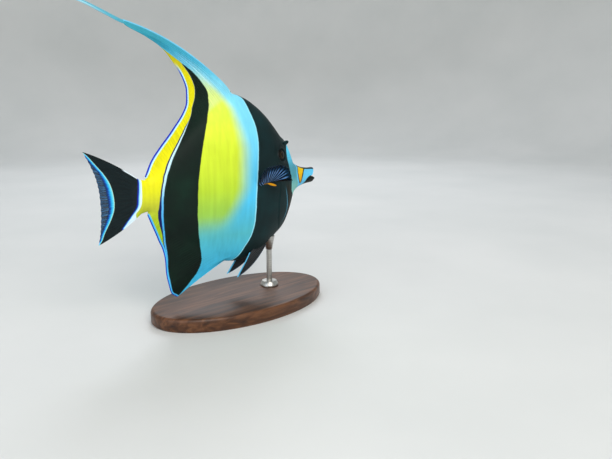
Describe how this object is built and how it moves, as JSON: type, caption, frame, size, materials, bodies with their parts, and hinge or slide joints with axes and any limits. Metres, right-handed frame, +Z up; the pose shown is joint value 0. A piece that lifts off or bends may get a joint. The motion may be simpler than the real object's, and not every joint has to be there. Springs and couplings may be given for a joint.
{
  "type": "moorish idol display model",
  "caption": "Life-size still model of a swimming moorish idol fish with trailing dorsal streamer, held by one rod over an oval base.",
  "frame": {"origin": "middle of the display base's underside, on the surface the stand is put on", "axes": "+X forward along the fish, from tail to snout; +Z up; +Y to the fish's left"},
  "size_m": [0.2403, 0.08, 0.2032],
  "materials": {
    "skin_flank": "satin skin, yellow-green blotch between black bars on pale blue",
    "skin_yellow": "satin skin, plain yellow",
    "skin_black": "satin skin, black",
    "skin_pale": "satin skin, pale blue-white with an orange saddle",
    "eye": "wet and glossy, dark brown",
    "fin_pale": "satin rayed membrane, pale blue-white",
    "fin_yellow": "satin rayed membrane, yellow and black",
    "fin_black": "satin rayed membrane, black with a pale blue edge",
    "fin_clear": "thin rayed membrane, smoky blue and see-through",
    "stand_wood": "satin varnish",
    "stand_metal": "brushed"
  },
  "bodies": {
    "root": {"torso": "skin_flank", "tail_stalk": "skin_yellow", "head": "skin_black", "gill_cover_right": "skin_black", "gill_cover_left": "skin_black", "snout": "skin_pale", "lower_jaw": "skin_black", "horn_right": "skin_black", "horn_left": "skin_black", "eye_right": "eye", "eye_left": "eye", "dorsal_pennant": "fin_pale", "dorsal_fin_upper": "fin_yellow", "dorsal_fin_lower": "fin_yellow", "streamer_root": "fin_pale", "streamer_middle": "fin_pale", "streamer_tip": "fin_pale", "anal_fin": "fin_black", "tail_fin": "fin_black", "pectoral_fin_right": "fin_clear", "pectoral_fin_left": "fin_clear", "pelvic_fin_right": "fin_black", "pelvic_fin_left": "fin_black", "stand_base": "stand_wood", "stand_collar": "stand_metal", "stand_rod": "stand_metal", "stand_cup": "stand_metal"}
  },
  "joints": []
}
